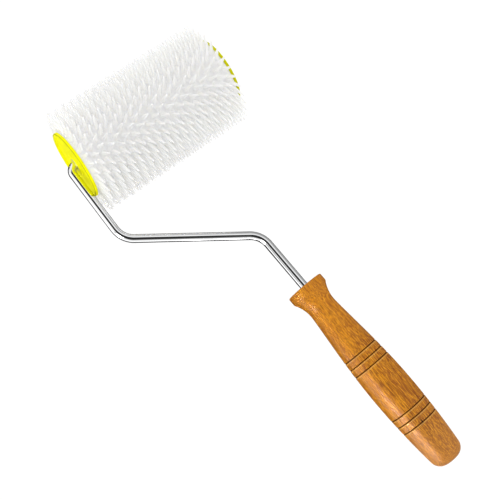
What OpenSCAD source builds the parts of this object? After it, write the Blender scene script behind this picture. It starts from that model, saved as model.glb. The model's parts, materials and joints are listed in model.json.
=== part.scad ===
// Spiked roller for self-levelling floor coatings, lying on a floor.
// +X runs along the roller's axle, away from the side arm, and the handle points to -Y.
// The origin is on the floor, under the middle of the object's bounding box.

/* [Roller] */
// Number of moulded spiked rings on the core tube
ring_count = 20; // [8:2:30]
// Width of one ring, which is also the distance between two rows of spikes
ring_w = 5; // [4:0.5:7]
// Number of spikes round one ring
spike_count = 32; // [16:2:40]
// Diameter over the spikes' tips
tip_d = 65; // [60:1:75]
// Diameter of the ring's skin, where the spikes begin
skin_d = 41; // [40:0.5:44]
// Diameter of a spike at its root
spike_root_d = 2.9; // [2:0.1:3.2]
// Diameter of a spike's blunt tip
spike_tip_d = 1; // [0.6:0.1:1.6]
// Outside diameter of the core tube
core_d = 38; // [36:0.5:38.5]
// Inside diameter of the core tube
core_bore_d = 33; // [28:0.5:34]

/* [End caps] */
// Diameter of the cap's flange
cap_d = 42; // [41:0.5:48]
// Height of the flange's rim beyond the core tube's end
rim_h = 1.6; // [1.2:0.1:3]
// Width of the raised rim
rim_w = 2.2; // [1.5:0.1:4]
// Height of the recessed web beyond the core tube's end
web_h = 0.5; // [0.2:0.1:0.8]
// Thickness of the web
web_t = 1.7; // [1.2:0.1:3]
// Depth of the cap's plug inside the core tube
plug_len = 8; // [5:1:15]
// Thickness of the plug's wall
plug_t = 2; // [1.5:0.1:3]
// Outside diameter of the hub
hub_d = 13; // [11:0.5:16]
// Length of the hub inside the core tube
hub_len = 10; // [6:1:20]
// Outside diameter of the bearing bush
bush_d = 8; // [7:0.5:9.5]

/* [Wire frame] */
// Diameter of the bent wire
rod_d = 5; // [4:0.5:6]
// Gap between the side arm and the near cap's rim
arm_gap = 0.9; // [0.5:0.1:3]
// Distance from the axle to the side arm's lower corner
arm_len = 50.4; // [45:0.1:80]
// Sideways place of the tang's corner, from the middle of the roller
tang_x = 9.9; // [0:0.1:20]
// Distance from the axle to the tang's corner
tang_y = 94.5; // [85:0.5:120]
// Centre-line radius of the tight bend beside the near cap
near_bend_r = 4; // [3.5:0.5:4]
// Centre-line radius of the two wide bends
wide_bend_r = 13; // [8:1:16]
// Turn of the tang and handle out of square with the axle, in degrees
handle_yaw = 2.5; // [0:0.1:5]

/* [Handle] */
// Length of the handle
handle_len = 125; // [120:1:135]
// Distance from the tang's corner to the handle's front face
handle_gap = 38; // [20:0.1:60]
// Depth that the tang reaches into the handle
tang_depth = 60; // [40:1:80]
// Diameter of the flange at the handle's front
flange_d = 23; // [20:0.5:26]
// Length of the flange
flange_len = 5; // [3:0.5:7]
// Diameter of the neck
neck_d = 16.5; // [14:0.5:18]
// Distance of the neck from the front face
neck_at = 15.6; // [12:0.1:20]
// Diameter of the belly
belly_d = 24.1; // [22:0.1:27]
// Distance of the belly from the front face
belly_at = 75.6; // [65:0.1:80]
// Radius of the long curve from the belly to the butt
taper_r = 422; // [350:1:600]
// Radius of the rounding round the butt
butt_round = 6.5; // [4:0.5:7]
// Distance of the first group of grooves from the front face
front_grooves_at = 48; // [40:0.5:55]
// Distance of the second group of grooves from the front face
rear_grooves_at = 88.5; // [82:0.5:95]
// Distance between the grooves of a group
groove_pitch = 4.7; // [3:0.1:6]
// Width of a groove
groove_w = 0.9; // [0.5:0.1:1.5]
// Depth of a groove
groove_depth = 0.35; // [0.2:0.05:0.6]

/* [Axle end] */
// Diameter of the washer
washer_d = 12; // [10:0.5:14]
// Thickness of the washer
washer_t = 0.8; // [0.5:0.1:1.5]
// Diameter of the retaining cap's flange
retainer_d = 11; // [10:0.5:13]
// Height of the retaining cap
retainer_h = 4.6; // [4.2:0.1:6]
// Free play between the far hub and the washer
end_play = 0.3; // [0.1:0.1:0.6]

/* [Hidden] */
fine = 64;                                     // sides of a round shape
coarse = 24;                                   // sides of a spike
through = 1;                                   // how far a cutting shape sticks out of what it cuts

// Roller
sleeve_len = ring_count * ring_w;
spike_step = 360 / spike_count;
spike_sunk = (skin_d - core_d) / 4;            // depth of a spike's root inside the ring's wall
spike_len = (tip_d - skin_d) / 2 + spike_sunk;
rest_turn = spike_step / 4;                    // the roller rests on two neighbouring rows of tips
axle_h = tip_d / 2 * cos(rest_turn) + spike_tip_d / 2 * sin(rest_turn);

// Caps
bore_clearance = 0.06;                         // radial running clearance of the wire in a bush
edge = 0.5;                                    // chamfer on the edges of the caps and the handle's flange
hub_step = 0.4;                                // height of the hub's face above the web
hub_slope = 0.4;                               // width of the slope round the hub's face
rim_slope = 0.6;                               // width of the slope inside the rim
hub_face = web_h + hub_step;                   // height of the hub's face beyond the tube's end

// Axle end
washer_clearance = 0.1;                        // radial clearance of the wire in the washer
retainer_flange_t = 0.6;                       // thickness of the retaining cap's flange
roof_t = 0.9;                                  // thickness of the retaining cap over the wire's end
tip_gap = 0.2;                                 // gap between the wire's end and the retaining cap's roof
dome_r = 4.1;                                  // radius of the retaining cap's dome
dome_h = 1.4;                                  // height of its rounded top

// Wire frame: the corners of its centre line, from the axle's free end to the tang's tip
arm_x = -(sleeve_len / 2 + rim_h + arm_gap + rod_d / 2);
washer_x = sleeve_len / 2 + hub_face + end_play;
retainer_x = washer_x + washer_t;
retainer_bore = retainer_h - roof_t;
axle_end = retainer_x + retainer_bore - tip_gap;
tang_tip = handle_gap + tang_depth;
handle_dir = [sin(handle_yaw), -cos(handle_yaw)];
corners = [
    [axle_end, 0],
    [arm_x, 0],
    [arm_x, -arm_len],
    [tang_x, -tang_y],
    [tang_x, -tang_y] + tang_tip * handle_dir
];
bend_r = [0, near_bend_r, wide_bend_r, wide_bend_r, 0];
bend_d = rod_d - 0.04;                         // the wire is a little thinner where it is bent
overlap = 0.2;                                 // how far a straight stretch runs into a bend

// Handle: how its outline is drawn, its belly curve, its butt rounding and where they meet
swell_power = 1.2;                             // above 1 the neck opens slowly towards the belly
swell_from = neck_at + 2;                      // first point of the swell behind the neck
cove_steps = 6;
swell_steps = 12;
middle_steps = 9;
rear_steps = 5;
butt_steps = 6;
belly_r = belly_d / 2;
butt_at = handle_len - butt_round;
butt_run = butt_at - belly_at;
butt_r = belly_r - taper_r + sqrt(pow(taper_r - butt_round, 2) - pow(butt_run, 2));
butt_start = asin(butt_run / (taper_r - butt_round));

// The frame leans down about the axle until the belly's curve touches the floor
belly_y = tang_y + (handle_gap + belly_at) * cos(handle_yaw);
tilt = asin((axle_h - taper_r) / norm([belly_y, belly_r - taper_r])) - atan2(belly_r - taper_r, belly_y);

// Middle of the bounding box
butt_y = (tang_y + (handle_gap + butt_at) * cos(handle_yaw)) * cos(tilt);
butt_slope = acos(cos(handle_yaw) * cos(tilt));
y_front = axle_h;
y_back = -(butt_y + butt_r * sin(butt_slope) + butt_round);
x_mid = (retainer_x + retainer_h + arm_x - rod_d / 2) / 2;
y_mid = (y_front + y_back) / 2;

function ring_name(i) = str("spiked_ring_", i < 9 ? "0" : "", i + 1);

// ---------- placing ----------

// Puts a piece that is drawn about the axle, with the frame level, where it lies on the floor
module lay_down() {
    translate([-x_mid, -y_mid, axle_h]) rotate([tilt, 0, 0]) children();
}

// Puts a piece of the roller on its axle
module on_axle() {
    translate([-x_mid, -y_mid, axle_h]) children();
}

// Turns a shape that stands on +Z so that it points along the axle, outwards from the near or far end
module at_end(side) {
    mirror([side < 0 ? 1 : 0, 0, 0]) translate([sleeve_len / 2, 0, 0]) rotate([0, 90, 0]) children();
}

// ---------- wire frame ----------

function unit(angle) = [cos(angle), sin(angle)];
function heading(i) = atan2(corners[i + 1].y - corners[i].y, corners[i + 1].x - corners[i].x);
function wrapped(angle) = angle > 180 ? angle - 360 : angle <= -180 ? angle + 360 : angle;
function is_bend(i) = i > 0 && i < len(corners) - 1;
function turn(i) = is_bend(i) ? wrapped(heading(i) - heading(i - 1)) : 0;
function setback(i) = bend_r[i] * tan(abs(turn(i)) / 2);

module rod_straight(i) {
    from = is_bend(i) ? setback(i) - overlap : 0;
    to = norm(corners[i + 1] - corners[i]) - (is_bend(i + 1) ? setback(i + 1) - overlap : 0);
    start = corners[i] + from * unit(heading(i));
    translate([start.x, start.y, 0]) rotate([0, 90, heading(i)])
        cylinder(d = rod_d, h = to - from, $fn = fine);
}

module rod_bend(i) {
    side = sign(turn(i));
    before = heading(i - 1);
    centre = corners[i] - setback(i) * unit(before) + bend_r[i] * unit(before + 90 * side);
    first = before - 90 * side;
    translate([centre.x, centre.y, 0]) rotate([0, 0, side > 0 ? first : first + turn(i)])
        rotate_extrude(angle = abs(turn(i)), $fn = fine)
            translate([bend_r[i], 0]) circle(d = bend_d, $fn = fine);
}

module frame_rod() {
    color("silver") lay_down() {
        for (i = [0 : len(corners) - 2]) rod_straight(i);
        for (i = [1 : len(corners) - 2]) rod_bend(i);
    }
}

// ---------- handle ----------

// Radius of the turned shape at a distance from the front face
function cove(s) = pow((neck_at - s) / (neck_at - flange_len), 2);
function cove_r(s) = neck_d / 2 + (flange_d - neck_d - edge) / 2 * cove(s);
function swell(s) = pow(sin(90 * (s - neck_at) / (belly_at - neck_at)), swell_power);
function swell_r(s) = neck_d / 2 + (belly_d - neck_d) / 2 * swell(s);
function taper_r_at(s) = belly_r - taper_r + sqrt(pow(taper_r, 2) - pow(s - belly_at, 2));
function grip_r(s) = s < neck_at ? cove_r(s) : s < belly_at ? swell_r(s) : taper_r_at(s);

function groove_cut(s) = [
    [grip_r(s - groove_w / 2), s - groove_w / 2],
    [grip_r(s) - groove_depth, s],
    [grip_r(s + groove_w / 2), s + groove_w / 2]
];
function groove_group(first) = [for (k = [0 : 2]) each groove_cut(first + k * groove_pitch)];
function stretch(from, to, count) = [
    for (k = [0 : count]) let (s = from + (to - from) * k / count) [grip_r(s), s]
];

function butt_point(angle) = [butt_r + butt_round * cos(angle), butt_at + butt_round * sin(angle)];

after_group = 2 * groove_pitch + groove_w;
handle_outline = concat(
    [[0, 0], [flange_d / 2 - edge, 0], [flange_d / 2, edge], [flange_d / 2, flange_len - edge]],
    stretch(flange_len, neck_at, cove_steps),
    stretch(swell_from, front_grooves_at - groove_w, swell_steps),
    groove_group(front_grooves_at),
    stretch(front_grooves_at + after_group, rear_grooves_at - groove_w, middle_steps),
    groove_group(rear_grooves_at),
    stretch(rear_grooves_at + after_group, butt_at, rear_steps),
    [for (k = [0 : butt_steps]) butt_point(butt_start + (90 - butt_start) * k / butt_steps)],
    [[0, handle_len]]
);

module on_tang() {
    translate([tang_x, -tang_y, 0]) rotate([90, 0, handle_yaw]) translate([0, 0, handle_gap]) children();
}

module handle() {
    color("peru") lay_down() on_tang() difference() {
        rotate_extrude($fn = fine) polygon(handle_outline);
        translate([0, 0, -through]) cylinder(d = rod_d, h = tang_depth + through, $fn = fine);
    }
}

// ---------- axle end ----------

module axle_washer() {
    color("silver") lay_down() translate([washer_x, 0, 0]) rotate([0, 90, 0]) difference() {
        cylinder(d = washer_d, h = washer_t, $fn = fine);
        translate([0, 0, -through])
            cylinder(r = rod_d / 2 + washer_clearance, h = washer_t + 2 * through, $fn = fine);
    }
}

retainer_outline = concat(
    [[0, 0], [retainer_d / 2, 0], [retainer_d / 2, retainer_flange_t], [dome_r, retainer_flange_t]],
    [for (a = [0 : 15 : 90]) [dome_r * cos(a), retainer_h - dome_h + dome_h * sin(a)]]
);

module axle_retainer() {
    color("silver") lay_down() translate([retainer_x, 0, 0]) rotate([0, 90, 0]) difference() {
        rotate_extrude($fn = fine) polygon(retainer_outline);
        translate([0, 0, -through]) cylinder(d = rod_d, h = retainer_bore + through, $fn = fine);
    }
}

// ---------- roller ----------

module core_tube() {
    color("gainsboro") on_axle() translate([-sleeve_len / 2, 0, 0]) rotate([0, 90, 0]) difference() {
        cylinder(d = core_d, h = sleeve_len, $fn = fine);
        translate([0, 0, -through]) cylinder(d = core_bore_d, h = sleeve_len + 2 * through, $fn = fine);
    }
}

// Half of the cap's section: radius, then height beyond the core tube's end
cap_r = cap_d / 2;
cap_outline = [
    [bush_d / 2, hub_face],
    [hub_d / 2, hub_face],
    [hub_d / 2 + hub_slope, web_h],
    [cap_r - rim_w - rim_slope, web_h],
    [cap_r - rim_w, rim_h],
    [cap_r - edge, rim_h],
    [cap_r, rim_h - edge],
    [cap_r, 0],
    [core_bore_d / 2, 0],
    [core_bore_d / 2, edge - plug_len],
    [core_bore_d / 2 - edge, -plug_len],
    [core_bore_d / 2 - plug_t, -plug_len],
    [core_bore_d / 2 - plug_t, web_h - web_t],
    [hub_d / 2, web_h - web_t],
    [hub_d / 2, -hub_len],
    [bush_d / 2, -hub_len]
];

module end_cap(side) {
    color("yellow") on_axle() at_end(side) rotate_extrude($fn = fine) polygon(cap_outline);
}

module near_end_cap() {
    end_cap(-1);
}

module far_end_cap() {
    end_cap(1);
}

module bush(side) {
    color("ivory") on_axle() at_end(side) difference() {
        translate([0, 0, -hub_len]) cylinder(d = bush_d, h = hub_len + hub_face, $fn = fine);
        translate([0, 0, -hub_len - through])
            cylinder(r = rod_d / 2 + bore_clearance, h = hub_len + hub_face + 2 * through, $fn = fine);
    }
}

module near_bush() {
    bush(-1);
}

module far_bush() {
    bush(1);
}

// Every second ring is turned by half the distance between two spikes
module spiked_ring(i) {
    clocking = i % 2 == 0 ? -rest_turn : rest_turn;
    color("whitesmoke") on_axle() translate([(i + 0.5) * ring_w - sleeve_len / 2, 0, 0]) {
        rotate([0, 90, 0]) difference() {
            cylinder(d = skin_d, h = ring_w, center = true, $fn = fine);
            cylinder(d = core_d, h = ring_w + 2 * through, center = true, $fn = fine);
        }
        for (k = [0 : spike_count - 1]) rotate([clocking + k * spike_step, 0, 0])
            translate([0, 0, skin_d / 2 - spike_sunk])
                cylinder(d1 = spike_root_d, d2 = spike_tip_d, h = spike_len, $fn = coarse);
    }
}

frame_rod();
handle();
axle_washer();
axle_retainer();
core_tube();
near_end_cap();
far_end_cap();
near_bush();
far_bush();
for (i = [0 : ring_count - 1]) spiked_ring(i);
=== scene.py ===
"""Looks of the spiked roller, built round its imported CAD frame.

The rings are drawn about the X axis and the other turned pieces about their own Z axis, and then they
are put on the axle or on the handle's line.
The bent wire is drawn in the level frame of the CAD design, which leans about the axle.
Lengths are in metres.
"""
import json
from math import atan2, cos, pi, radians, sin, sqrt, tan

import bpy
from mathutils import Matrix, Vector


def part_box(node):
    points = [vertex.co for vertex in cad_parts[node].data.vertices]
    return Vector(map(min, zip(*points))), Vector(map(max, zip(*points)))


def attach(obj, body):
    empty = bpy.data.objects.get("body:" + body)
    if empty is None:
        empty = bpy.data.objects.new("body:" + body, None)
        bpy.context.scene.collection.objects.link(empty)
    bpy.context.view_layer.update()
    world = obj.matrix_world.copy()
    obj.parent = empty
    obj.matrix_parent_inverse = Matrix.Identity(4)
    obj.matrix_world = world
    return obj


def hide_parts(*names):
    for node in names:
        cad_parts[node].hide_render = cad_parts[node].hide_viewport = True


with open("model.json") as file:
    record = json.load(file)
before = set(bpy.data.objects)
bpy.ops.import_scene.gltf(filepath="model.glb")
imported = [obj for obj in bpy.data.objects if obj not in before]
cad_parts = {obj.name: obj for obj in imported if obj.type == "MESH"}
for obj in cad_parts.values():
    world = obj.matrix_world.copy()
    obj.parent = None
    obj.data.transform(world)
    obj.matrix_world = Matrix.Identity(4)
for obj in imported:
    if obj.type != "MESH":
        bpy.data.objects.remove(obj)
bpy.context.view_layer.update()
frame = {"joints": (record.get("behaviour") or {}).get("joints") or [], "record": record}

MM = 0.001

# ---------- sizes that the CAD boxes don't give ----------

RING_COUNT = 20
RING_CHAMFER = 0.12 * MM        # chamfer on the edges between two rings
SPIKES = 32                     # spikes round one ring
SKIN_R = 20.5 * MM              # radius of a ring's skin
SPIKE_LEN = 12 * MM             # height of a spike above the skin
ROOT_R = 1.36 * MM              # radius of a spike just above its root fillet
TIP_R = 0.5 * MM                # radius of a spike just below its rounded tip
TIP_ROUND = 0.42 * MM           # height of the rounded tip
WAIST = 0.82                    # below 1 the sides of a spike are a little hollow

# heights and depths of a cap are measured from the core tube's end
TUBE_BORE_R = 16.5 * MM
HUB_BORE_R = 4.0 * MM           # seat of the bush
HUB_R = 6.5 * MM
HUB_SLOPE = 0.4 * MM            # width of the slope round the hub's face
HUB_H = 0.9 * MM
HUB_DEPTH = 10 * MM
WEB_H = 0.5 * MM
WEB_BACK = 1.2 * MM             # depth of the web's inner face
RIM_FOOT_R = 18.2 * MM
RIM_TOP_R = 18.8 * MM
PLUG_BORE_R = 14.5 * MM
PLUG_DEPTH = 8 * MM
PLUG_BEVEL = 0.5 * MM
CAP_SHADE_LINE_IN = 0.42 * MM         # distance of the painted shade line from the cap's edge

BUSH_CLEARANCE = 0.06 * MM
WASHER_CLEARANCE = 0.1 * MM
DOME_R = 4.1 * MM               # the retaining cap's dome
DOME_FOOT = 0.3 * MM            # width of the slope at the dome's foot
DOME_FOOT_H = 1.4 * MM
RETAINER_BORE_DEPTH = 3.7 * MM
RETAINER_FLANGE_T = 0.6 * MM

ROD_R = 2.5 * MM                # radius of the bent wire
ARM_LEN = 50.4 * MM             # axle to the lower corner of the side arm
HANDLE_GAP = 38 * MM            # corner of the tang to the handle's front face
NEAR_BEND_R = 4 * MM            # centre-line radius of the bend beside the cap
WIDE_BEND_R = 13 * MM           # centre-line radius of the other two bends
BEND_SQUEEZE = 0.05             # how much the tightest bend flattens the round wire

HANDLE_LEN = 125 * MM
FLANGE_R = 11.5 * MM
FLANGE_LEN = 5 * MM
COVE_DROP = 0.25 * MM           # step down from the flange to the cove
NECK_R = 8.25 * MM
NECK_AT = 15.6 * MM
BELLY_R = 12.05 * MM
BELLY_AT = 75.6 * MM
TAPER_R = 422 * MM              # long curve from the belly to the butt
BUTT_ROUND = 6.5 * MM           # rounding round the butt
TANG_DEPTH = 60 * MM
GROOVE_PITCH = 4.7 * MM
GROOVES = [first + k * GROOVE_PITCH for first in (48 * MM, 88.5 * MM) for k in range(3)]
GROOVE_DEPTH = 0.4 * MM
GROOVE_HALF_W = 0.38 * MM
HIGHLIGHT_LINE_AT = 0.75 * MM              # the painted highlight line beyond a groove
HIGHLIGHT_LINE_HALF_W = 0.4 * MM
KNOT_AT = (-2.9 * MM, -11.6 * MM, 79 * MM)
TICK_AT = (2.1 * MM, -11.2 * MM, 97.6 * MM)

# lines on the floor: the dark strip that the wire's hook mirrors, and the bright one that the grip mirrors
BEHIND_HOOK = [Vector((-60 * MM, 250 * MM, 0)), Vector((-200 * MM, 600 * MM, 0))]
BESIDE_GRIP = [Vector((-60 * MM, -85 * MM, 0)), Vector((-60 * MM, -170 * MM, 0))]

WHITE = (1, 1, 1, 1)
BACKDROP = 1.06                 # light of the plain floor and tent behind the object

# ---------- places from the frame ----------

axle = Vector(frame["joints"][0]["pos_m"])
butt_mount = frame["record"]["mounts"][0]
handle_dir = Vector(butt_mount["axis"]).normalized()
lean = atan2(-handle_dir.z, -handle_dir.y)
level_to_row = Matrix.Translation(axle) @ Matrix.Rotation(lean, 4, "X")
row_to_level = level_to_row.inverted()


def box_middle(node):
    low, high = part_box(node)
    return (low + high) / 2


def box_size(node):
    low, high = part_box(node)
    return high - low


# ---------- mesh helpers ----------


def new_object(name, mesh, matrix, body, node, material):
    """Adds a finished piece: it rides on its body and stands for its CAD node."""
    piece = bpy.data.objects.new(name, mesh)
    bpy.context.scene.collection.objects.link(piece)
    piece.matrix_world = matrix
    if material.name not in mesh.materials:
        mesh.materials.append(material)
    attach(piece, body)
    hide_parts(node)


def mesh_from(name, verts, faces, sharp=50):
    """A smooth-shaded mesh that keeps edges sharper than the given angle crisp."""
    mesh = bpy.data.meshes.new(name)
    mesh.from_pydata(verts, [], faces)
    mesh.validate()
    mesh.shade_smooth()
    mesh.set_sharp_from_angle(angle=radians(sharp))
    return mesh


def rounded(corners, steps=5, closed=True):
    """Rounds an outline's corners. A corner is (radius, height, size of its rounding)."""
    points = []
    count = len(corners)
    for i, (x, y, size) in enumerate(corners):
        at_end = not closed and i in (0, count - 1)
        if size == 0 or at_end:
            points.append((x, y))
            continue
        here = Vector((x, y))
        before = Vector(corners[i - 1][:2]) - here
        after = Vector(corners[(i + 1) % count][:2]) - here
        start = here + before.normalized() * size
        end = here + after.normalized() * size
        for k in range(steps + 1):
            t = k / steps
            p = start * (1 - t) ** 2 + here * 2 * t * (1 - t) + end * t ** 2
            points.append((p.x, p.y))
    return points


def circle(radius, height, sides):
    """Points of a circle round Z."""
    angles = [2 * pi * s / sides for s in range(sides)]
    return [(radius * cos(angle), radius * sin(angle), height) for angle in angles]


def lathe(name, outline, sides=96, closed=True, sharp=50):
    """Turns an outline of (radius, height) points round Z. An open one starts and ends on the axis."""
    verts = []
    rows = []
    for radius, height in outline:
        if radius < 1e-7:
            rows.append([len(verts)])
            verts.append((0, 0, height))
        else:
            rows.append(range(len(verts), len(verts) + sides))
            verts += circle(radius, height, sides)
    faces = []
    pairs = list(zip(rows, rows[1:])) + ([(rows[-1], rows[0])] if closed else [])
    for low, high in pairs:
        for s in range(sides):
            t = (s + 1) % sides
            if len(low) == 1:
                faces.append((low[0], high[t], high[s]))
            elif len(high) == 1:
                faces.append((low[s], low[t], high[0]))
            else:
                faces.append((low[s], low[t], high[t], high[s]))
    mesh = mesh_from(name, verts, faces, sharp)
    face_outwards(mesh)
    return mesh


def sleeve(name, bore, outer, length, edges, sides):
    """A plain tube about Z from 0 to its length. Edges are the roundings, from the bore's foot round."""
    places = [(bore, 0), (outer, 0), (outer, length), (bore, length)]
    corners = [(*place, edge) for place, edge in zip(places, edges)]
    return lathe(name, rounded(corners), sides)


def face_outwards(mesh):
    """Turns the faces of a closed mesh outwards, by the sign of its volume."""
    mesh.calc_loop_triangles()
    co = [v.co for v in mesh.vertices]
    corners = [[co[v] for v in t.vertices] for t in mesh.loop_triangles]
    volume = sum(a.dot(b.cross(c)) for a, b, c in corners)
    if volume < 0:
        mesh.flip_normals()


# ---------- materials ----------


def add_node(tree, kind, inputs=None, **options):
    """Adds a node to a tree. An input is a plain value or another node's output."""
    node = tree.nodes.new(kind)
    for option, value in options.items():
        setattr(node, option, value)
    for socket, value in (inputs or {}).items():
        if isinstance(value, bpy.types.NodeSocket):
            tree.links.new(value, node.inputs[socket])
        else:
            node.inputs[socket].default_value = value
    return node


def add_remap(tree, value, low, high, to_low, to_high):
    """A value from low to high becomes one from to_low to to_high, with a soft start and end."""
    inputs = {"Value": value, "From Min": low, "From Max": high, "To Min": to_low, "To Max": to_high}
    return add_node(tree, "ShaderNodeMapRange", inputs, interpolation_type="SMOOTHSTEP").outputs["Result"]


class Look:
    """A node material with short ways to add and join its nodes."""

    def __init__(self, name, **settings):
        self.material = bpy.data.materials.new(name)
        self.material.use_nodes = True
        self.tree = self.material.node_tree
        self.shader = self.tree.nodes["Principled BSDF"]
        for socket, value in settings.items():
            self.shader.inputs[socket.replace("_", " ")].default_value = value

    def add(self, kind, inputs=None, **options):
        return add_node(self.tree, kind, inputs, **options)

    def place(self, scale=(1, 1, 1), move=(0, 0, 0), turn=(0, 0, 0)):
        """The object's own coordinates, moved, turned and scaled."""
        source = self.add("ShaderNodeTexCoord").outputs["Object"]
        inputs = {"Vector": source, "Location": move, "Rotation": turn, "Scale": scale}
        return self.add("ShaderNodeMapping", inputs).outputs["Vector"]

    def noise(self, vector, scale, detail=3, roughness=0.5):
        inputs = {"Vector": vector, "Scale": scale, "Detail": detail, "Roughness": roughness}
        return self.add("ShaderNodeTexNoise", inputs).outputs["Fac"]

    def remap(self, value, low, high, to_low, to_high):
        return add_remap(self.tree, value, low, high, to_low, to_high)

    def maths(self, operation, first, second=0.0):
        return self.add("ShaderNodeMath", {0: first, 1: second}, operation=operation).outputs["Value"]

    def vectors(self, operation, first, second):
        return self.add("ShaderNodeVectorMath", {0: first, 1: second}, operation=operation).outputs[0]

    def length(self, vector):
        return self.add("ShaderNodeVectorMath", {0: vector}, operation="LENGTH").outputs["Value"]

    def part(self, vector, axis):
        return self.add("ShaderNodeSeparateXYZ", {0: vector}).outputs[axis]

    def spot(self, middle, scale, inner, outer):
        """1 within the inner radius of a place in the object, fading to 0 at the outer radius."""
        offset = self.vectors("SUBTRACT", self.place(), middle)
        away = self.length(self.vectors("MULTIPLY", offset, scale))
        return self.remap(away, inner, outer, 1.0, 0.0)

    def distance(self, place, start, end):
        """Distance from a place to a straight line between two points."""
        run = end - start
        offset = self.vectors("SUBTRACT", place, start)
        inputs = {0: offset, 1: run / run.length_squared}
        along = self.add("ShaderNodeVectorMath", inputs, operation="DOT_PRODUCT").outputs["Value"]
        held = self.add("ShaderNodeClamp", {"Value": along}).outputs[0]
        inputs = {0: run, "Scale": held}
        nearest = self.add("ShaderNodeVectorMath", inputs, operation="SCALE").outputs[0]
        return self.length(self.vectors("SUBTRACT", offset, nearest))

    def ramp(self, value, stops):
        node = self.add("ShaderNodeValToRGB", {"Fac": value})
        elements = node.color_ramp.elements
        while len(elements) < len(stops):
            elements.new(1.0)
        for element, (place, colour) in zip(elements, stops):
            element.position = place
            element.color = (*colour, 1)
        return node.outputs["Color"]

    def mix(self, fac, first, second):
        inputs = {0: fac, 6: first, 7: second}
        return self.add("ShaderNodeMix", inputs, data_type="RGBA").outputs[2]

    def join(self, **sockets):
        for socket, value in sockets.items():
            self.tree.links.new(value, self.shader.inputs[socket.replace("_", " ")])

    def bump(self, height, strength, distance):
        inputs = {"Height": height, "Strength": strength, "Distance": distance}
        self.join(Normal=self.add("ShaderNodeBump", inputs).outputs["Normal"])


def nylon_look():
    look = Look(
        "spike_nylon",
        IOR=1.53,
        Subsurface_Weight=0.5,
        Subsurface_Radius=(1.0, 0.95, 0.85),
        Subsurface_Scale=2.0 * MM,
    )
    here = look.place()
    cloud = look.noise(here, 70, 2)
    colour = look.ramp(cloud, [(0.3, (0.935, 0.93, 0.92)), (0.7, (0.96, 0.955, 0.94))])
    look.join(Base_Color=colour, Roughness=look.remap(look.noise(here, 400), 0.3, 0.7, 0.28, 0.42))
    look.bump(look.noise(here, 900, 2), 0.12, 0.1 * MM)
    return look.material


def cap_look(name, cap_r, rim_painted_shade):
    """Lemon plastic about its own Z axis, with a painted shade line round the edge of its face and painted
    shade on the side of its rim.
    """
    look = Look(name, IOR=1.45, Specular_IOR_Level=0.05)
    here = look.place()
    radius = look.length(look.vectors("MULTIPLY", here, (1, 1, 0)))
    off_shade_line = look.maths("ABSOLUTE", look.maths("SUBTRACT", radius, cap_r - CAP_SHADE_LINE_IN))
    # a painted shade line near the edge of the face
    line = look.remap(off_shade_line, 0.15 * MM, 0.45 * MM, 0.8, 0.0)
    # painted shade on the side of the rim, as strong as the given rim shade
    edge = look.remap(radius, cap_r - 0.2 * MM, cap_r - 0.05 * MM, 0.0, rim_painted_shade)
    cloud = look.noise(here, 240, 4, 0.65)
    colour = look.ramp(cloud, [(0.32, (0.91, 0.88, 0.001)), (0.62, (0.99, 0.97, 0.002))])
    # the line and the rim's side are mixed towards an olive painted shade colour
    shade_lined = look.mix(look.maths("MAXIMUM", line, edge), colour, (0.33, 0.34, 0.001, 1))
    look.join(Base_Color=shade_lined, Roughness=look.remap(look.noise(here, 300), 0.3, 0.7, 0.5, 0.62))
    look.bump(look.noise(here, 260, 2), 0.05, 0.1 * MM)
    return look.material


def pale_plastic_look(name, tint):
    look = Look(name, IOR=1.5)
    here = look.place()
    shade = [c * 0.9 for c in tint]
    colour = look.ramp(look.noise(here, 200, 3), [(0.3, shade), (0.7, tint)])
    look.join(Base_Color=colour, Roughness=look.remap(look.noise(here, 600), 0.3, 0.7, 0.4, 0.55))
    look.bump(look.noise(here, 1200, 2), 0.1, 0.1 * MM)
    return look.material


def metal_look(name, tint, smooth, rough, bump, edge):
    """Plated metal with a roughness from smooth to rough. Edge is its brightness seen from the side."""
    look = Look(name, Metallic=1.0, Specular_Tint=(edge, edge, edge, 1))
    here = look.place()
    stain = look.noise(here, 90, 3)
    colour = look.ramp(stain, [(0.3, [c * 0.94 for c in tint]), (0.7, tint)])
    scratch = look.noise(look.place(scale=(1, 0.12, 1)), 2500, 2)
    look.join(Base_Color=colour, Roughness=look.remap(scratch, 0.35, 0.7, smooth, rough))
    look.bump(look.noise(here, 1500, 2), bump, 0.05 * MM)
    return look.material


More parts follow.
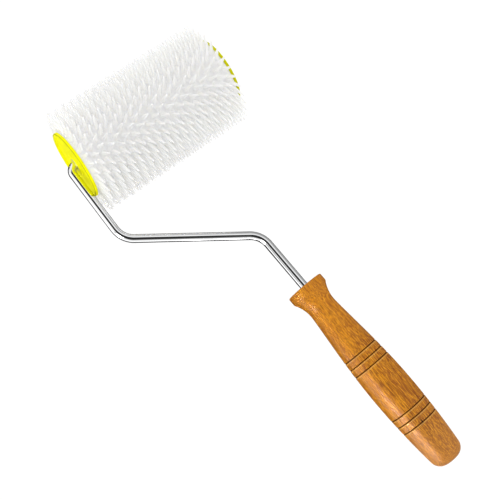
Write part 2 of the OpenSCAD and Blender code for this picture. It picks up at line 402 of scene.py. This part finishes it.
def wood_look():
    """Varnished wood with its grain along the object's own Z axis, scorched grooves and a painted
    highlight line beyond each groove.
    """
    look = Look(
        "varnished_wood",
        IOR=1.45,
        Specular_IOR_Level=0.05,
        Coat_Roughness=0.36,
        Coat_IOR=1.5,
        Coat_Tint=(1.0, 0.95, 0.84, 1),
    )
    # two marks in the surface: a knot at the belly and a short tick between the rear grooves
    knot = look.spot(KNOT_AT, (1, 1, 0.7), 0.5 * MM, 4.2 * MM)
    tick = look.spot(TICK_AT, (1, 1, 0.35), 0.1 * MM, 0.8 * MM)

    # growth rings round a pith that runs beside the handle, bent by slow noise and by the knot
    wander = look.noise(look.place(scale=(1, 1, 0.12)), 60, 3)
    pith = look.place(scale=(1, 1, 0.18), move=(0.030, -0.008, 0.012), turn=(0.10, 0.05, 0))
    bent = look.maths("ADD", wander, look.maths("MULTIPLY", knot, 0.25))
    rings = look.maths("ADD", look.length(pith), look.maths("MULTIPLY", bent, 0.014))
    turns = look.maths("FRACT", look.maths("MULTIPLY", rings, 420.0))
    late_wood = look.remap(turns, 0.3, 1.0, 0.0, 0.12)

    # fibres and pores are noise that is stretched along the grain
    fibre = look.noise(look.place(scale=(1, 1, 0.05)), 2800, 3, 0.8)
    pore_noise = look.noise(look.place(scale=(1, 1, 0.06)), 3000, 1)
    pores = look.remap(pore_noise, 0.53, 0.66, 0.0, 0.7)
    cloud = look.noise(look.place(scale=(1, 1, 0.22)), 60, 3)

    dark, middle, light = (0.22, 0.052, 0.001), (0.35, 0.102, 0.001), (0.50, 0.170, 0.003)
    base = look.ramp(cloud, [(0.37, dark), (0.5, middle), (0.63, light)])
    ringed = look.mix(late_wood, base, (0.29, 0.080, 0.001, 1))
    pale_fibre = look.remap(fibre, 0.45, 0.58, 0.0, 0.80)
    fibrous = look.mix(pale_fibre, ringed, (0.82, 0.345, 0.008, 1))
    pored = look.mix(pores, fibrous, (0.15, 0.034, 0.001, 1))
    knotty = look.mix(look.maths("MULTIPLY", knot, 0.45), pored, (0.22, 0.055, 0.001, 1))
    # paler and less red towards the butt, from 80 mm to its end
    butt_paleness = look.remap(look.part(look.place(), "Z"), 80 * MM, HANDLE_LEN, 0.0, 0.35)
    butt_paled = look.mix(butt_paleness, knotty, (0.50, 0.23, 0.07, 1))
    marked = look.mix(tick, butt_paled, (0.05, 0.012, 0.001, 1))

    # the attribute is above 0 in the burnt grooves and below 0 on the painted highlight line beyond each
    scorch_and_highlight = look.add("ShaderNodeAttribute", attribute_name="scorch_and_highlight").outputs["Fac"]
    painted_highlight = look.remap(look.maths("MULTIPLY", scorch_and_highlight, -1.0), 0.0, 0.8, 0.0, 0.3)
    highlighted = look.mix(painted_highlight, marked, (0.95, 0.62, 0.20, 1))
    look.join(
        Base_Color=look.mix(look.maths("MAXIMUM", scorch_and_highlight, 0.0), highlighted, (0.02, 0.005, 0.001, 1)),
        Roughness=look.remap(fibre, 0.3, 0.75, 0.42, 0.6),
        Coat_Weight=look.remap(scorch_and_highlight, 0.0, 0.8, 0.42, 0.0),
    )
    ridges = look.noise(look.place(scale=(1, 1, 0.04)), 1000, 1)
    look.bump(look.maths("SUBTRACT", ridges, look.maths("MULTIPLY", pores, 0.5)), 0.12, 0.08 * MM)
    return look.material


def floor_glow(look, here):
    """How bright the floor is in glossy surfaces.

    It is brighter towards -X and beside the grip, and dark near the wire and behind its hook.
    """
    corners = [level_to_row @ corner.to_3d() for corner in wire_corners()[1:]]
    corners[0] += Vector((0, 20 * MM, 0))
    for corner in corners:
        corner.z = 0
    near = 1.0
    for start, end in zip(corners, corners[1:]):
        near = look.maths("MINIMUM", near, look.distance(here, start, end))
    parts = [
        look.remap(look.part(here, "X"), -60 * MM, 40 * MM, 1.35, 0.40),
        look.remap(near, 44 * MM, 58 * MM, 0.04, 1.0),
        look.remap(look.distance(here, *BEHIND_HOOK), 120 * MM, 170 * MM, 0.04, 1.0),
        look.remap(look.distance(here, *BESIDE_GRIP), 35 * MM, 55 * MM, 6.0, 1.0),
    ]
    glow = parts[0]
    for part in parts[1:]:
        glow = look.maths("MULTIPLY", glow, part)
    return glow


def floor_look():
    """A plain pale floor, evenly white behind the object."""
    look = Look("pale_floor", Roughness=0.6, Emission_Color=WHITE, Emission_Strength=0.36)
    here = look.place()
    colour = look.ramp(look.noise(here, 3, 2), [(0.3, (0.57, 0.57, 0.57)), (0.7, (0.59, 0.59, 0.59))])
    look.join(Base_Color=colour)
    rays = look.add("ShaderNodeLightPath").outputs
    mirrored = look.add("ShaderNodeEmission", {"Strength": floor_glow(look, here)}).outputs[0]
    plain = look.add("ShaderNodeEmission", {"Strength": BACKDROP}).outputs[0]
    inputs = {0: rays["Is Glossy Ray"], 1: look.shader.outputs[0], 2: mirrored}
    lit = look.add("ShaderNodeMixShader", inputs).outputs[0]
    inputs = {0: rays["Is Camera Ray"], 1: lit, 2: plain}
    final = look.add("ShaderNodeMixShader", inputs).outputs[0]
    look.tree.links.new(final, look.tree.nodes["Material Output"].inputs["Surface"])
    return look.material


# ---------- roller ----------


def spike_profile():
    """Rows up a spike: (height above the skin, radius, how far it follows the skin's curve)."""
    fillet = [(0.0, 0.40, 1.0), (0.07, 0.24, 1.0), (0.22, 0.11, 0.7), (0.50, 0.03, 0.3), (0.9, 0.0, 0.0)]
    rows = [(up * MM, ROOT_R + more * MM, follow) for up, more, follow in fillet]
    straight_top = SPIKE_LEN - TIP_ROUND
    for t in (0.12, 0.28, 0.46, 0.64, 0.82, 1.0):
        up = rows[4][0] + (straight_top - rows[4][0]) * t
        rows.append((up, ROOT_R + (TIP_R - ROOT_R) * t ** WAIST, 0.0))
    for angle in (25, 50, 72):
        up = straight_top + (SPIKE_LEN - straight_top) * sin(radians(angle))
        rows.append((up, TIP_R * cos(radians(angle)), 0.0))
    return rows


def spiked_ring_mesh(width, bore_r):
    """One moulding about the X axis: a short skin whose spikes grow out of it without a seam."""
    verts, faces, skin = [], [], {}
    half = width / 2 - RING_CHAMFER
    rim = SPIKES * 4                              # points round the ring's edge, four to a spike
    sides = 16                                    # points round a spike

    def skin_point(turn_index, across):
        """A point of the grid between the spikes, shared by its neighbours."""
        key = (turn_index % rim, across)
        if key not in skin:
            angle = 2 * pi * turn_index / rim
            skin[key] = len(verts)
            verts.append((half * across / 2, SKIN_R * sin(angle), SKIN_R * cos(angle)))
        return skin[key]

    square = [(2, 0), (2, 1), (2, 2), (1, 2), (0, 2), (-1, 2), (-2, 2), (-2, 1),
              (-2, 0), (-2, -1), (-2, -2), (-1, -2), (0, -2), (1, -2), (2, -2), (2, -1)]
    for spike in range(SPIKES):
        angle = 2 * pi * spike / SPIKES
        out = Vector((0, sin(angle), cos(angle)))
        side = Vector((0, cos(angle), -sin(angle)))
        loop = [skin_point(4 * spike + a, x) for a, x in square]
        for up, radius, follow in spike_profile():
            first = len(verts)
            for k in range(sides):
                sideways = radius * cos(2 * pi * k / sides)
                lengthways = Vector((radius * sin(2 * pi * k / sides), 0, 0))
                drop = follow * (SKIN_R - sqrt(SKIN_R ** 2 - sideways ** 2))
                verts.append(out * (SKIN_R - drop + up) + side * sideways + lengthways)
            ring = list(range(first, first + sides))
            for k in range(sides):
                after = (k + 1) % sides
                faces.append((loop[k], loop[after], ring[after], ring[k]))
            loop = ring
        verts.append(out * (SKIN_R + SPIKE_LEN))
        faces += [(loop[k], loop[(k + 1) % sides], len(verts) - 1) for k in range(sides)]

    def edge_row(x, radius):
        first = len(verts)
        for k in range(rim):
            angle = 2 * pi * k / rim
            verts.append((x, radius * sin(angle), radius * cos(angle)))
        return list(range(first, first + rim))

    rows = [
        [skin_point(k, -2) for k in range(rim)],
        edge_row(-width / 2, SKIN_R - RING_CHAMFER),
        edge_row(-width / 2, bore_r),
        edge_row(width / 2, bore_r),
        edge_row(width / 2, SKIN_R - RING_CHAMFER),
        [skin_point(k, 2) for k in range(rim)],
    ]
    for low, high in zip(rows, rows[1:]):
        faces += [(low[k], low[(k + 1) % rim], high[(k + 1) % rim], high[k]) for k in range(rim)]
    mesh = mesh_from("spiked_ring", verts, faces, 38)
    face_outwards(mesh)
    return mesh


def build_rings(material):
    """All rings share one mesh. Every second ring is turned by half a spike's pitch."""
    width = box_size("spiked_ring_01").x
    bore_r = box_size("core_tube").z / 2
    mesh = spiked_ring_mesh(width, bore_r)
    quarter_step = 2 * pi / SPIKES / 4
    for i in range(RING_COUNT):
        node = f"spiked_ring_{i + 1:02d}"
        place = Matrix.Translation((box_middle(node).x, axle.y, axle.z))
        turned = Matrix.Rotation(-quarter_step if i % 2 == 0 else quarter_step, 4, "X")
        new_object(f"{node}_moulding", mesh, place @ turned, "roller", node, material)


def on_axle(x, side=1):
    """Puts a piece on the axle with its +Z out of the near (-1) or far (1) end of the roller."""
    return Matrix.Translation((x, axle.y, axle.z)) @ Matrix.Rotation(side * pi / 2, 4, "Y")


def cap_outline(cap_r, rim_h):
    """Half section of an end cap: its rim, web, hub and plug."""
    return rounded([
        (HUB_BORE_R, HUB_H, 0.15 * MM),
        (HUB_R, HUB_H, 0.3 * MM),
        (HUB_R + HUB_SLOPE, WEB_H, 0.25 * MM),
        (RIM_FOOT_R, WEB_H, 0.5 * MM),
        (RIM_TOP_R, rim_h, 0.35 * MM),
        (cap_r, rim_h, 0.55 * MM),
        (cap_r, 0, 0.1 * MM),
        (TUBE_BORE_R, 0, 0.1 * MM),
        (TUBE_BORE_R, PLUG_BEVEL - PLUG_DEPTH, 0),
        (TUBE_BORE_R - PLUG_BEVEL, -PLUG_DEPTH, 0),
        (PLUG_BORE_R, -PLUG_DEPTH, 0.2 * MM),
        (PLUG_BORE_R, -WEB_BACK, 0.4 * MM),
        (HUB_R, -WEB_BACK, 0.4 * MM),
        (HUB_R, -HUB_DEPTH, 0.2 * MM),
        (HUB_BORE_R, -HUB_DEPTH, 0.1 * MM),
    ])


def build_cap(node, side, x, rim_h, rim_painted_shade):
    cap_r = box_size(node).z / 2
    mesh = lathe(f"{node}_shape", cap_outline(cap_r, rim_h), 128)
    material = cap_look(f"{node}_plastic", cap_r, rim_painted_shade)
    new_object(f"{node}_moulding", mesh, on_axle(x, side), "roller", node, material)


def build_caps():
    tube_low, tube_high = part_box("core_tube")
    near_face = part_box("near_end_cap")[0].x
    far_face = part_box("far_end_cap")[1].x
    # the last number is the painted shade on the rim's side: none on the near cap, 0.65 on the far cap
    build_cap("near_end_cap", -1, tube_low.x, tube_low.x - near_face, 0.0)
    build_cap("far_end_cap", 1, tube_high.x, far_face - tube_high.x, 0.65)


def build_bushes(material):
    edges = (0.2 * MM, 0.2 * MM, 0.25 * MM, 0.3 * MM)
    for side, node in ((-1, "near_bush"), (1, "far_bush")):
        low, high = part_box(node)
        size = high - low
        mesh = sleeve(f"{node}_shape", ROD_R + BUSH_CLEARANCE, size.z / 2, size.x, edges, 64)
        start = high.x if side < 0 else low.x
        new_object(f"{node}_sleeve", mesh, on_axle(start, side), "roller", node, material)


def build_tube(material):
    low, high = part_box("core_tube")
    size = high - low
    mesh = sleeve("core_tube_shape", TUBE_BORE_R, size.z / 2, size.x, [0.3 * MM] * 4, 96)
    new_object("core_tube_extrusion", mesh, on_axle(low.x), "roller", "core_tube", material)


# ---------- axle end ----------


def build_washer(material):
    low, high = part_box("axle_washer")
    size = high - low
    hole = ROD_R + WASHER_CLEARANCE
    mesh = sleeve("axle_washer_shape", hole, size.z / 2, size.x, [0.15 * MM] * 4, 96)
    new_object("axle_washer_disc", mesh, on_axle(low.x), "frame", "axle_washer", material)


def build_retainer(material):
    low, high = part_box("axle_retainer")
    tall = high.x - low.x
    flange_r = (high.z - low.z) / 2
    corners = [
        (0, RETAINER_BORE_DEPTH, 0),
        (ROD_R, RETAINER_BORE_DEPTH, 0),
        (ROD_R, 0, 0.2 * MM),
        (flange_r, 0, 0.2 * MM),
        (flange_r, RETAINER_FLANGE_T, 0.25 * MM),
        (DOME_R + DOME_FOOT, RETAINER_FLANGE_T, 0.35 * MM),
        (DOME_R, DOME_FOOT_H, 0.3 * MM),
        (DOME_R, tall, 1.5 * MM),
        (0, tall, 0),
    ]
    mesh = lathe("axle_retainer_shape", rounded(corners, 6, closed=False), 96, closed=False)
    new_object("axle_retainer_dome", mesh, on_axle(low.x), "frame", "axle_retainer", material)


# ---------- bent wire ----------


def wire_corners():
    """Corners of the wire's centre line in the level frame, from the axle's end to the tang's tip."""
    low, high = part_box("frame_rod")
    butt = row_to_level @ Vector(butt_mount["pos_m"])
    along = (row_to_level.to_3x3() @ handle_dir).to_2d()
    front = butt.to_2d() - along * HANDLE_LEN
    arm_x = low.x + ROD_R - axle.x
    return [
        Vector((high.x - axle.x, 0)),
        Vector((arm_x, 0)),
        Vector((arm_x, -ARM_LEN)),
        front - along * HANDLE_GAP,
        front + along * TANG_DEPTH,
    ]


def wire_centre_line():
    """Points and directions along the wire, with how tightly it bends there."""
    corners = wire_corners()
    radii = [0, NEAR_BEND_R, WIDE_BEND_R, WIDE_BEND_R, 0]
    steps = 24
    line = [(corners[0], (corners[1] - corners[0]).normalized(), 0.0)]
    for i in range(1, 4):
        come = (corners[i] - corners[i - 1]).normalized()
        go = (corners[i + 1] - corners[i]).normalized()
        turn = atan2(come.x * go.y - come.y * go.x, come.dot(go))
        back = radii[i] * tan(abs(turn) / 2)
        left = Vector((-come.y, come.x)) * (1 if turn > 0 else -1)
        centre = corners[i] - come * back + left * radii[i]
        for k in range(steps + 1):
            spun = Matrix.Rotation(turn * k / steps, 2)
            tightness = sin(pi * k / steps) * NEAR_BEND_R / radii[i]
            line.append((centre + spun @ (-left * radii[i]), spun @ come, tightness))
    line.append((corners[4], (corners[4] - corners[3]).normalized(), 0.0))
    return line


def build_wire(material):
    sides = 48
    end_bevel = 0.4 * MM
    end_scale = 1 - end_bevel / ROD_R
    line = wire_centre_line()
    start, first_way, _ = line[0]
    end, last_way, _ = line[-1]
    rows = [(start, first_way, 0.0, end_scale), (start + first_way * end_bevel, first_way, 0.0, 1.0)]
    rows += [(point, way, tightness, 1.0) for point, way, tightness in line[1:-1]]
    rows += [(end - last_way * end_bevel, last_way, 0.0, 1.0), (end, last_way, 0.0, end_scale)]
    verts, faces = [], []
    for point, way, tightness, scale in rows:
        across = Vector((-way.y, way.x, 0)) * (1 - BEND_SQUEEZE * tightness)
        upward = Vector((0, 0, 1 + 0.4 * BEND_SQUEEZE * tightness))
        for s in range(sides):
            angle = 2 * pi * s / sides
            verts.append(point.to_3d() + (across * cos(angle) + upward * sin(angle)) * ROD_R * scale)
    for row in range(len(rows) - 1):
        for s in range(sides):
            a = row * sides + s
            b = row * sides + (s + 1) % sides
            faces.append((a, b, b + sides, a + sides))
    faces.append(tuple(reversed(range(sides))))
    faces.append(tuple(range(len(verts) - sides, len(verts))))
    mesh = mesh_from("frame_rod_shape", verts, faces, 30)
    face_outwards(mesh)
    new_object("frame_rod_wire", mesh, level_to_row, "frame", "frame_rod", material)


# ---------- handle ----------


def grip_radius(s):
    """Radius of the turned handle at a distance from its front face, without the grooves."""
    if s < NECK_AT:
        cove = (NECK_AT - s) / (NECK_AT - FLANGE_LEN)
        return NECK_R + (FLANGE_R - COVE_DROP - NECK_R) * cove ** 2
    if s < BELLY_AT:
        swell = (s - NECK_AT) / (BELLY_AT - NECK_AT)
        return NECK_R + (BELLY_R - NECK_R) * sin(pi / 2 * swell) ** 1.2
    return BELLY_R - TAPER_R + sqrt(TAPER_R ** 2 - (s - BELLY_AT) ** 2)


def grip_stations():
    """Distances from the front face at which the grip's outline has a point, closer at the grooves."""
    stations = {FLANGE_LEN + (2.0 + 1.5 * k) * MM for k in range(76)}
    steps = (0.08, 0.2, 0.34, 0.5, 0.8, 1.1)
    for groove in GROOVES:
        stations = {s for s in stations if abs(s - groove) > 1.2 * MM}
        stations |= {groove + sign * step * MM for step in steps for sign in (-1, 1)}
    last = HANDLE_LEN - BUTT_ROUND - 0.5 * MM
    return sorted(s for s in stations if s < last)


def butt_outline():
    """The handle's rounded butt, from the end of the grip to the axis."""
    butt_at = HANDLE_LEN - BUTT_ROUND
    run = butt_at - BELLY_AT
    butt_r = BELLY_R - TAPER_R + sqrt((TAPER_R - BUTT_ROUND) ** 2 - run ** 2)
    start = run / (TAPER_R - BUTT_ROUND)
    steps = 12
    points = []
    for k in range(steps + 1):
        angle = start + (pi / 2 - start) * k / steps
        points.append((butt_r + BUTT_ROUND * cos(angle), butt_at + BUTT_ROUND * sin(angle)))
    return points + [(butt_r * 0.6, HANDLE_LEN), (0, HANDLE_LEN)]


def handle_outline():
    bore = ROD_R + 0.02 * MM
    hole_end = TANG_DEPTH + 1 * MM
    cove_start = FLANGE_LEN + 1.2 * MM
    corners = [
        (0, hole_end, 0),
        (bore, hole_end, 0),
        (bore, 0, 0.25 * MM),
        (FLANGE_R, 0, 0.9 * MM),
        (FLANGE_R, FLANGE_LEN, 0.7 * MM),
        (grip_radius(cove_start), cove_start, 0),
    ]
    outline = rounded(corners, 6, closed=False)
    for s in grip_stations():
        nearest = min(abs(s - groove) for groove in GROOVES)
        cut = GROOVE_DEPTH * max(0.0, 1 - nearest / GROOVE_HALF_W)
        outline.append((grip_radius(s) - cut, s))
    return outline + butt_outline()


def build_handle(material):
    mesh = lathe("handle_shape", handle_outline(), 128, closed=False, sharp=60)
    scorch_and_highlight = mesh.attributes.new("scorch_and_highlight", "FLOAT", "POINT")
    for vertex, value in zip(mesh.vertices, scorch_and_highlight.data):
        offset = min((vertex.co.z - groove for groove in GROOVES), key=abs)
        dark = max(0.0, 1 - abs(offset) / GROOVE_HALF_W) ** 0.4
        # light marks a painted highlight: a pale line just beyond each groove
        light = max(0.0, 1 - abs(offset - HIGHLIGHT_LINE_AT) / HIGHLIGHT_LINE_HALF_W)
        value.value = dark - light
    x_axis = handle_dir.cross(Vector((0, 0, 1))).normalized()
    y_axis = handle_dir.cross(x_axis)
    turned = Matrix((x_axis, y_axis, handle_dir)).transposed().to_4x4()
    front = Matrix.Translation(Vector(butt_mount["pos_m"]) - handle_dir * HANDLE_LEN)
    new_object("handle_turning", mesh, front @ turned, "frame", "handle", material)


# ---------- studio ----------


def build_floor():
    half = 3.0
    corners = [(-half, -half, 0), (half, -half, 0), (half, half, 0), (-half, half, 0)]
    mesh = bpy.data.meshes.new("floor")
    mesh.from_pydata(corners, [], [(0, 1, 2, 3)])
    floor = bpy.data.objects.new("floor", mesh)
    bpy.context.scene.collection.objects.link(floor)
    mesh.materials.append(floor_look())


def sky_direction(azimuth, elevation):
    """A direction from its angle round from +X towards +Y and its angle above the floor, in degrees."""
    a = radians(azimuth)
    e = radians(elevation)
    return (cos(a) * cos(e), sin(a) * cos(e), sin(e))


def build_light():
    """A white light tent. Its soft boxes and dark openings show only in glossy surfaces."""
    world = bpy.data.worlds.new("light_tent")
    bpy.context.scene.world = world
    world.use_nodes = True
    tree = world.node_tree
    tree.nodes.clear()
    direction = add_node(tree, "ShaderNodeTexCoord").outputs["Generated"]

    # azimuth, elevation, inner and outer radius in degrees, and how much brighter the tent is inside
    patches = [
        (194, -2, 6, 13, 32),
        (194, 19, 6, 13, 30),
        (167, 14, 14, 26, 1.3),
        (181, 25, 4.5, 8, 0.02),
        (35, 62, 8, 34, 1.2),
        (25, 5, 20, 70, 0.40),
        (108, 2, 14, 22, 0.04),
        (-150, 76, 20, 32, 0.03),
        (-128, 47, 12, 22, 0.1),
        (156, 64, 7, 12, 0.1),
    ]
    total = 0.97
    for azimuth, elevation, inner, outer, factor in patches:
        inputs = {0: direction, 1: sky_direction(azimuth, elevation)}
        facing = add_node(tree, "ShaderNodeVectorMath", inputs, operation="DOT_PRODUCT").outputs["Value"]
        patch = add_remap(tree, facing, cos(radians(outer)), cos(radians(inner)), 1.0, factor)
        inputs = {0: patch, 1: total}
        total = add_node(tree, "ShaderNodeMath", inputs, operation="MULTIPLY").outputs["Value"]
    upward = add_node(tree, "ShaderNodeSeparateXYZ", {0: direction}).outputs["Z"]
    inputs = {0: upward, 1: 0.45, 2: 0.84}
    even = add_node(tree, "ShaderNodeMath", inputs, operation="MULTIPLY_ADD").outputs["Value"]

    def background(strength):
        return add_node(tree, "ShaderNodeBackground", {"Color": WHITE, "Strength": strength}).outputs[0]

    rays = add_node(tree, "ShaderNodeLightPath").outputs
    inputs = {0: rays["Is Glossy Ray"], 1: background(even), 2: background(total)}
    lit = add_node(tree, "ShaderNodeMixShader", inputs).outputs[0]
    inputs = {0: rays["Is Camera Ray"], 1: lit, 2: background(BACKDROP)}
    seen = add_node(tree, "ShaderNodeMixShader", inputs).outputs[0]
    add_node(tree, "ShaderNodeOutputWorld", {"Surface": seen})


def build_camera():
    """High over the handle, a little towards the side arm, and turned about its own line of sight."""
    place = axle + Vector((-0.1500, -0.2184, 0.5230))
    target = axle + Vector((0.0005, -0.0963, -0.0125))
    roll = radians(13.41)
    data = bpy.data.cameras.new("camera")
    data.sensor_width = 36
    data.lens = 72
    camera = bpy.data.objects.new("camera", data)
    bpy.context.scene.collection.objects.link(camera)
    aim = (target - place).to_track_quat("-Z", "Y").to_matrix().to_4x4()
    camera.matrix_world = Matrix.Translation(place) @ aim @ Matrix.Rotation(roll, 4, "Z")
    bpy.context.scene.camera = camera


bpy.context.scene.view_settings.view_transform = "Standard"
build_camera()
build_light()
build_floor()

zinc = metal_look("zinc_plate", (0.62, 0.63, 0.64), smooth=0.28, rough=0.42, bump=0.25, edge=0.8)
chrome = metal_look("chrome_plate", (0.90, 0.905, 0.91), smooth=0.03, rough=0.07, bump=0.01, edge=0.2)
build_rings(nylon_look())
build_caps()
build_bushes(pale_plastic_look("bush_acetal", (0.86, 0.82, 0.22)))
build_tube(pale_plastic_look("tube_plastic", (0.80, 0.80, 0.78)))
build_washer(zinc)
build_retainer(zinc)
build_wire(chrome)
build_handle(wood_look())
